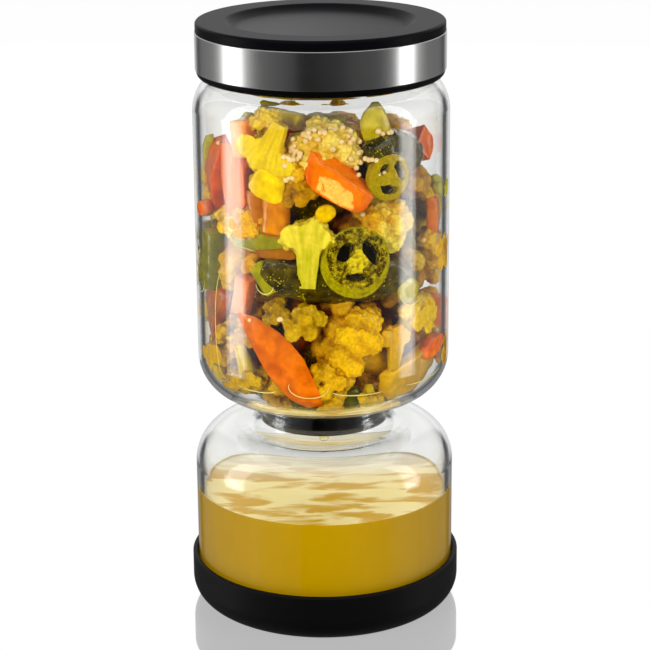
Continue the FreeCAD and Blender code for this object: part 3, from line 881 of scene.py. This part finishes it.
def layCore():
    # painted shade: a dark red-brown core that shows in the gaps between the pieces
    outline = ((0, 94.2), (28, 94.6), (34, 104), (35, 150), (31, 174), (20, 184), (0, 187))
    bm = turned([(*point, 0) for point in outline], 48, unit=1)
    bm = fused(bm, 1.6)
    moved(bm, lambda co: 4.0 * wave(co, 12.0, 2) + 1.4 * wave(co, 3.5, 5))
    toned(bm, lambda co, normal: ("7A2E08", "B4640E", 0.4 + 1.2 * wave(co, 6.0, 3)))
    lay("pulp", bm, 0, 0, 0)


layCore()
layFront()
print("front pieces laid")


# what fills the chamber behind and round the front pieces
filling = {
    "layers": 8, "round": 12, "low": 99.0, "high": 187.0, "inFront": 62, "radius": 39.5, "onTop": 13,
    "seed": 9,
}


def stockPieces():
    # a few of each kind, modelled once and copied with another turn and size
    luck = random.Random(filling["seed"])
    stock = [("moreFlorets", makeFloret(24, 22, seed, "F2CC48", "CC9620", "E0D468", fine=False))
             for seed in range(100, 105)]
    stock.append(("moreFlorets", makeFloret(
        23, 25, 105, "E2C83C", "BE9A18", "E0DC6C", lobes=8, fine=False, cut=((0, -2.5, 0), (0, -1, 0)))))
    for i in range(3):
        size = (luck.uniform(13, 19), luck.uniform(9, 12), luck.uniform(10, 13))
        stock.append(("carrots", makeCarrot(box(*size, 0.22), 110 + i, "F77E1C", "E05C04")))
    holes = [(125, 5.0, 6.6, 3.6), (5, 5.0, 6.8, 3.8), (-112, 5.0, 6.4, 3.6)]
    return stock + [
        ("gherkins", makeGherkin(30, 16, 114, 1.2, detail=4)),
        ("gherkins", makeGherkin(26, 15, 115, -1.0, "45480E", "7A7A20", detail=4)),
        ("rings", makeRing(10.5, 5.5, 116, holes, "8E941A", "9C9A22", "CCC458", 0.24)),
        ("greens", makeBean(24, 7.0, 117, 1.5)),
        ("greens", makeLump((8, 5.5, 7), 118, "8E8E1E", "B4AE40", 0.16, 3)),
        ("peppers", makeStrip(26, 13, 4.4, 119, 44, "DC5A20", "BC3A0C")),
        ("peppers", makeStrip(25, 14, 4.4, 120, 44, "D2B010", "B08A04")),
    ]


def layFilling():
    luck = random.Random(filling["seed"] + 1)
    stock = stockPieces()
    weights = [3.4 if kind == "moreFlorets" else 1.1 if kind == "carrots" else 1.8 for kind, _ in stock]
    for layer in range(filling["layers"]):
        share = layer / (filling["layers"] - 1)
        height = filling["low"] + (filling["high"] - filling["low"]) * share
        for i in range(filling["round"]):
            angle = (i + 0.5 * (layer % 2)) * 360 / filling["round"] + luck.uniform(-7, 7)
            angle = (angle + 180) % 360 - 180
            kind, bm = luck.choices(stock, weights)[0]
            # the heap slopes down at both sides
            slope = 14 if 45 < angle < 100 and height > 170 or -100 < angle < -55 and height > 178 else 0
            radius = filling["radius"] + luck.uniform(-1.5, 1.5)
            if abs(angle) < filling["inFront"]:
                radius = 29.0
            elif abs(angle) < filling["inFront"] + 25:
                radius = 35
            turn, lean, yaw = luck.uniform(-60, 60), luck.uniform(-25, 40), luck.uniform(-60, 60)
            if kind in ("gherkins", "peppers", "greens", "rings"):
                lean, yaw = luck.uniform(-15, 15), luck.uniform(-12, 12)
            lay(kind, bm.copy(), angle, height - slope + luck.uniform(-3, 3), radius, turn, lean, yaw,
                luck.uniform(0.85, 1.15))
    # the top of the heap
    for i in range(filling["onTop"]):
        angle = i * 137.5
        radius = 6 + 24 * math.sqrt(i / filling["onTop"])
        kind, bm = luck.choices(stock, weights)[0]
        lay(kind, bm.copy(), angle, filling["high"] + luck.uniform(-2, 3), radius, luck.uniform(-30, 30),
            luck.uniform(30, 80), luck.uniform(0, 360), luck.uniform(0.75, 1.0))
    for _, bm in stock:
        bm.free()


layFilling()
print("filling laid")


def pickledFlesh(add, roughness, coat, grain, depth, subsurface, reach, mottle=0.0, specks=None, curd=0.0):
    # vegetable steeped in oil and brine: its colour, with painted shade, from "tone", wet over a fine grain
    # in mm;
    # its pale specks, pores and painted glints, have a colour, how far apart they lie and how wide they get;
    # curd is the size of its buds
    place = add("TexCoord").outputs["Object"]
    tone = add("Attribute", attribute_name="tone")
    cloud = add("TexNoise", {
        "Vector": place, "Scale": 1 / (grain * 2.2 * mm), "Detail": 3.0, "Roughness": 0.6})
    shade = add("MapRange", {
        "Value": cloud, "From Min": 0.3, "From Max": 0.7, "To Min": 1 - mottle, "To Max": 1 + mottle * 0.6})
    colour = add("VectorMath", {0: tone, "Scale": shade}, operation="SCALE")
    skin = colour
    if specks:
        # pale pores and bubbles of oil, and painted glints of wet highlight, about half a millimetre
        pores = add("TexVoronoi", {"Vector": place, "Scale": 1 / (specks[1] * mm)})
        patchy = add("TexNoise", {"Vector": place, "Scale": 1 / (specks[1] * 3.1 * mm)})
        spread = add("MapRange", {
            "Value": patchy, "From Min": 0.42, "From Max": 0.68, "To Min": 0.02, "To Max": specks[2]})
        near = add("Math", {0: pores, 1: spread}, operation="LESS_THAN")
        skin = add("Mix", {"Factor": near, "A": colour, "B": specks[0]}, data_type="RGBA")
    fine = add("TexNoise", {"Vector": place, "Scale": 1 / (grain * mm), "Roughness": 0.55})
    bump = add("Bump", {"Height": fine, "Strength": 0.6, "Distance": depth * mm})
    if curd:
        # the tight round buds of the crown, only where "tone" says there is curd
        buds = add("TexVoronoi", {"Vector": place, "Scale": 1 / (curd * mm), "Randomness": 0.9})
        hollow = add("Math", {0: buds, 1: tone.outputs["Alpha"]}, operation="MULTIPLY")
        bump = add("Bump", {
            "Height": hollow, "Strength": 0.8, "Distance": 0.4 * mm, "Normal": bump}, invert=True)
        # painted shade: darker in the gaps between the buds, a little lighter on their tops
        gaps = add("MapRange", {
            "Value": hollow, "From Min": 0.35, "From Max": 0.8, "To Min": 1.04, "To Max": 0.82})
        skin = add("VectorMath", {0: skin, "Scale": gaps}, operation="SCALE")
    return add("BsdfPrincipled", {
        "Base Color": skin, "Roughness": roughness, "IOR": 1.4, "Specular IOR Level": 0.2, "Normal": bump,
        "Coat Weight": coat, "Coat Roughness": 0.06, "Coat IOR": 1.4, "Coat Tint": "FFF660",
        "Subsurface Weight": subsurface, "Subsurface Radius": reach, "Subsurface Scale": mm})


def mustardHusk(add):
    # yellow mustard seed: a smooth pale husk, a little pink
    place = add("TexCoord").outputs["Object"]
    cloud = add("TexNoise", {"Vector": place, "Scale": 1 / (2.5 * mm)})
    colour = add("Mix", {"Factor": cloud, "A": "E4B868", "B": "FFE0A0"}, data_type="RGBA")
    return add("BsdfPrincipled", {
        "Base Color": colour, "Roughness": 0.32, "IOR": 1.45, "Coat Weight": 0.5, "Coat Roughness": 0.08})


seeds = {"radius": 1.12, "loose": 46, "seed": 5}


def seedPlaces():
    # clusters by angle, height, spread across, spread up, and how many
    clusters = [
        (-14.5, 192, 3.5, 7.5, 24), (-8, 200, 9, 3.0, 10), (12, 194.5, 7, 4.5, 9), (22, 188.5, 5, 3, 8),
        (0, 200.5, 11, 2.2, 9), (27, 181.5, 4, 2, 4), (39, 198.0, 8, 1.0, 4), (20, 168.0, 1, 1, 1),
        (-20, 126.8, 1, 1, 2), (-34, 121, 3, 5, 2),
    ]
    luck = random.Random(seeds["seed"])
    places = []
    for angle, height, across, up, count in clusters:
        for _ in range(count):
            places.append((angle + luck.gauss(0, across * 0.55), height + luck.gauss(0, up * 0.55)))
    for _ in range(seeds["loose"]):
        places.append((luck.uniform(60, 300), luck.uniform(100, 195)))
    return places


def makeSeeds(pieces):
    # drops each seed from the glass inwards until it meets a vegetable
    graph = bpy.context.evaluated_depsgraph_get()
    trees = [BVHTree.FromObject(piece, graph) for piece in pieces]
    luck = random.Random(seeds["seed"] + 1)
    edge = cup["radius"] - seeds["radius"]
    bm = bmesh.new()
    for angle, height in seedPlaces():
        way = around(angle, 1, 0)
        start = Vector((0, 0, (height + 6) * mm)) + way * (cup["radius"] + 2) * mm
        fall = (-way + Vector((0, 0, -0.18))).normalized()
        hits = [tree.ray_cast(start, fall) for tree in trees]
        hits = [hit for hit in hits if hit[0] is not None]
        if not hits:
            continue
        place = min(hits, key=lambda hit: hit[3])[0] / mm - fall * 0.35
        place = kept(place + way * 0.5)
        reach = math.hypot(place.x, place.y)
        if reach > edge:
            place.x, place.y = place.x * edge / reach, place.y * edge / reach
        size = seeds["radius"] * luck.uniform(0.85, 1.12)
        blob(bm, place * mm, (size * mm, size * luck.uniform(0.9, 1) * mm, size * mm), 2)
    showPiece("mustard_seeds", bm, mustardHusk)


# beads of oil where wet pieces touch the glass, painted bright as a highlight: angle, height, half width,
# half height, from, to
films = [
    (-27, 146.4, 3.8, 4.4, 190, 345), (44.5, 140.2, 6.0, 5.4, 175, 320), (-7, 104.6, 7.6, 8.0, 165, 372),
    (-33, 101.0, 9.0, 3.4, 180, 350), (-74, 144.0, 5.0, 9.5, 185, 340), (20, 102.5, 14.0, 5.0, 195, 300),
    (52, 103.0, 14.0, 5.0, 230, 345), (-30, 163.0, 13.0, 4.4, 120, 265), (-50, 125.0, 7.0, 24.0, 95, 262),
]


def oilFilm(add):
    # a thin bead of oil, painted pale yellow as a highlight
    return add("BsdfPrincipled", {
        "Base Color": "E6D878", "Roughness": 0.1, "IOR": 1.46, "Coat Weight": 1.0, "Coat Roughness": 0.04})


def makeFilms():
    bm = bmesh.new()
    steps, thin = 30, 0.2
    for angle, height, wide, tall, start, end in films:
        path = []
        for i in range(steps + 1):
            turn = math.radians(start + (end - start) * i / steps)
            across = math.degrees(wide * math.cos(turn) / cup["radius"])
            path.append(kept(around(angle + across, 60, height + tall * math.sin(turn))))
        rings = []
        for i, place in enumerate(path):
            along = (path[min(i + 1, steps)] - path[max(i - 1, 0)]).normalized()
            out = Vector((place.x, place.y, 0)).normalized()
            side = along.cross(out).normalized()
            size = thin * (0.2 + math.sin(math.pi * i / steps) ** 0.5 * (1 + 0.4 * wave(place, 4.0, 6)))
            rings.append([])
            for k in range(6):
                t = math.pi * k / 3
                rim = (side * math.cos(t) + out * 0.5 * math.sin(t)) * size
                rings[-1].append(bm.verts.new((place - out * 0.1 + rim) * mm))
        for first, second in zip(rings, rings[1:]):
            for k in range(6):
                bm.faces.new((first[k], first[(k + 1) % 6], second[(k + 1) % 6], second[k]))
        bm.faces.new(rings[0])
        bm.faces.new(rings[-1])
    bmesh.ops.recalc_face_normals(bm, faces=bm.faces)
    showPiece("oil_films", bm, oilFilm)


# each kind of food: its piece, its material and what pickledFlesh makes that from
finishes = {
    "carrots": ("carrot", "brinedCarrot", 0.3, 0.8, 0.9, 0.16, 0.06, (1.8, 0.7, 0.2), 0.16),
    "gherkins": ("gherkin", "pickledGherkin", 0.34, 1.0, 0.8, 0.5, 0.0, (1, 1, 0.3), 0.45,
                 ("B0A848", 1.0, 0.4)),
    "rings": ("chilli_ring", "pickledChilli", 0.25, 1.0, 0.5, 0.2, 0.0, (1, 1, 0.3), 0.3,
              ("C4BC58", 0.7, 0.3)),
    "greens": ("green_cut", "pickledBean", 0.28, 0.9, 0.7, 0.14, 0.05, (1, 1, 0.3), 0.15),
    "peppers": ("pepper", "softPepper", 0.2, 1.0, 1.2, 0.14, 0.08, (1.8, 0.8, 0.2), 0.18),
    "pulp": ("spiced_pulp", "spicedPulp", 0.3, 0.7, 1.0, 0.2, 0.0, (1, 0.5, 0.2), 0.3),
}


def joinAll():
    curd = makeMaterial(
        pickledFlesh, "stainedCurd", 0.42, 0.6, 0.7, 0.2, 0.06, (1.6, 1.0, 0.3), 0.12, None, 1.35)
    wet = [joined("florets", "cauliflower_front", curd), joined("moreFlorets", "cauliflower_behind", curd)]
    for kind, (piece, *settings) in finishes.items():
        wet.append(joined(kind, piece, makeMaterial(pickledFlesh, *settings)))
    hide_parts("pickle_heap")
    makeSeeds(wet)
    makeFilms()


joinAll()
print("contents joined")


def clearDrop(add):
    # drop of clear thin brine
    return add("BsdfPrincipled", {
        "Base Color": "F6EFC8", "Roughness": 0.0, "IOR": 1.33, "Transmission Weight": 1.0})


# one about to fall from the strainer's rim, and a few small ones on its side: angle, radius, height over
# its foot, size and how tall
drops = [
    (0, 22.0, -1.7, 1.9, 1.25), (-67, 25.3, 3.6, 0.9, 1.0), (-62, 25.3, 2.4, 0.8, 1.0),
    (-72, 25.4, 5.0, 0.6, 1.0),
]


def makeDrops():
    bm = bmesh.new()
    for angle, radius, height, size, tall in drops:
        place = around(angle, radius, sieveLow.z + height) * mm
        blob(bm, place, (size * mm, size * mm, size * tall * mm), 3)
    showPiece("brine_drops", bm, clearDrop)


makeDrops()


studio = {"lens": 125.3, "away": 0.87, "above": 0.389, "tilt": 17.43, "yaw": -0.05, "roll": -0.5}


def makeCamera():
    camera = bpy.data.cameras.new("camera")
    camera.lens = studio["lens"]
    camera.sensor_width = 36
    camera.clip_start, camera.clip_end = 0.05, 20
    holder = addObject("camera", camera)
    turn = rotation(studio["yaw"], "Z") @ rotation(90 - studio["tilt"], "X") @ rotation(studio["roll"], "Z")
    holder.matrix_world = Matrix.Translation((0, -studio["away"], studio["above"])) @ turn
    bpy.context.scene.camera = holder


def makeLamp(name, place, size, power, aim=(0, 0, 0.12)):
    lamp = bpy.data.lights.new(name, "AREA")
    lamp.shape = "RECTANGLE"
    lamp.size, lamp.size_y = size
    lamp.energy = power
    holder = addObject(name, lamp)
    holder.location = place
    holder.rotation_euler = (Vector(aim) - Vector(place)).to_track_quat("-Z", "Y").to_euler()
    holder.visible_glossy = False
    holder.visible_transmission = False


def paleTable(add):
    # pale gloss table that shows white, with a faint mirror of the boot
    path = add("LightPath").outputs
    matt = add("BsdfDiffuse", {"Color": "F2F2F2"})
    white = add("Emission", {"Color": (1, 1, 1, 1), "Strength": 1.04})
    mirror = add("BsdfGlossy", {"Color": (1, 1, 1, 1), "Roughness": 0.05})
    paper = add("MixShader", {0: 0.9, 1: matt, 2: white})
    table = add("MixShader", {0: 0.52, 1: paper, 2: mirror})
    either = add("Math", {0: path["Is Camera Ray"], 1: path["Is Transmission Ray"]}, operation="MAXIMUM")
    shown = add("MixShader", {0: either, 1: matt, 2: table})
    # mirrored rays pass through it and see the room
    clear = add("BsdfTransparent")
    glossed = add("Math", {0: path["Glossy Depth"], 1: 0.5}, operation="GREATER_THAN")
    return add("MixShader", {0: glossed, 1: shown, 2: clear})


def makeFloor():
    bm = bmesh.new()
    bmesh.ops.create_circle(bm, cap_ends=True, segments=96, radius=1.6)
    floor = addObject("floor", bm)
    floor.data.materials.append(makeMaterial(paleTable))


# what glossy surfaces mirror, by degrees from the front (left is negative) and brightness
room = [
    (-180, 0.45), (-173, 0.85), (-158, 0.8), (-153, 0.06), (-146, 0.06), (-139, 0.25), (-112, 0.3),
    (-99, 0.6), (-97, 4.4), (-77.5, 4.4), (-76, 0.8), (-60, 0.2), (-23, 0.07), (-20, 0.0), (-6, 0.0),
    (4, 0.02), (20, 0.03), (27, 0.07), (56, 0.1), (74, 0.3), (77, 4.0), (91, 4.4), (93, 0.5),
    (112, 0.25), (139, 0.25), (146, 0.06), (153, 0.06), (158, 0.8), (173, 0.85), (180, 0.45),
]


def makeWorld():
    # an even white for the eye and through glass, a dark front with two tall soft boxes in mirrors
    world = bpy.data.worlds.new("studio")
    bpy.context.scene.world = world
    world.use_nodes = True
    world.node_tree.nodes.clear()
    add = partial(addNode, world.node_tree)
    place = add("TexCoord").outputs["Generated"]
    split = add("SeparateXYZ", {0: place}).outputs
    front = add("Math", {0: split["Y"], 1: -1.0}, operation="MULTIPLY")
    angle = add("Math", {0: split["X"], 1: front}, operation="ARCTAN2")
    turn = add("Math", {0: angle, 1: 0.5 / math.pi, 2: 0.5}, operation="MULTIPLY_ADD")
    ramp = add("ValToRGB", {0: turn})
    while len(ramp.color_ramp.elements) < len(room):
        ramp.color_ramp.elements.new(0.5)
    brightest = max(level for _, level in room)
    path = add("LightPath").outputs
    # the boxes hang from high up to 18 degrees under the level
    low = add("MapRange", {
        "Value": split["Z"], "From Min": -0.335, "From Max": -0.305, "To Min": 0.3 / brightest},
        interpolation_type="SMOOTHSTEP")
    lit = add("Math", {0: ramp, 1: low}, operation="MINIMUM")
    # a lamp box over the front, for small wet lights on the food
    over = add("MapRange", {
        "Value": split["Z"], "From Min": 0.72, "From Max": 0.78, "To Max": 2.2 / brightest})
    wet = add("Math", {0: lit, 1: over}, operation="MAXIMUM")
    # outside the jar all that looks up sees the white ceiling
    outside = add("Math", {0: path["Transmission Depth"], 1: 0.5}, operation="LESS_THAN")
    rising = add("MapRange", {"Value": split["Z"], "From Min": 0.0, "From Max": 0.08})
    ceiling = add("Math", {0: outside, 1: rising}, operation="MULTIPLY")
    dimmed = add("Mix", {"Factor": ceiling, "A": wet, "B": (1 / brightest,) * 3 + (1,)}, data_type="RGBA")
    for element, (degrees, level) in zip(ramp.color_ramp.elements, room):
        element.position = degrees / 360 + 0.5
        element.color = (level / brightest,) * 3 + (1,)
    seen = add("Background", {"Color": (1, 1, 1, 1), "Strength": 1.0})
    mirrored = add("Background", {"Color": dimmed, "Strength": brightest})
    fill = add("Background", {"Color": (1, 1, 1, 1), "Strength": 0.38})
    notDiffuse = add("Math", {0: path["Diffuse Depth"], 1: 0.5}, operation="LESS_THAN")
    glossed = add("Math", {0: path["Glossy Depth"], 1: 0.5}, operation="GREATER_THAN")
    # what has bounced off a glossy skin sees the room, even where it leaves through the glass
    inMirror = add("Math", {0: notDiffuse, 1: glossed}, operation="MULTIPLY")
    direct = add("Math", {0: path["Is Camera Ray"], 1: path["Is Transmission Ray"]}, operation="MAXIMUM")
    inner = add("MixShader", {0: direct, 1: fill, 2: seen})
    outer = add("MixShader", {0: inMirror, 1: inner, 2: mirrored})
    add("OutputWorld", {"Surface": outer})


makeCamera()
makeWorld()
makeFloor()
makeLamp("keyLamp", (-0.55, -0.9, 0.62), (0.4, 0.4), 10)
makeLamp("fillLamp", (0.8, -0.6, 0.5), (0.5, 0.8), 5)
makeLamp("backLamp", (0.1, 1.1, 0.5), (0.8, 0.6), 9)
bpy.context.scene.view_settings.view_transform = "Standard"
print("studio made")
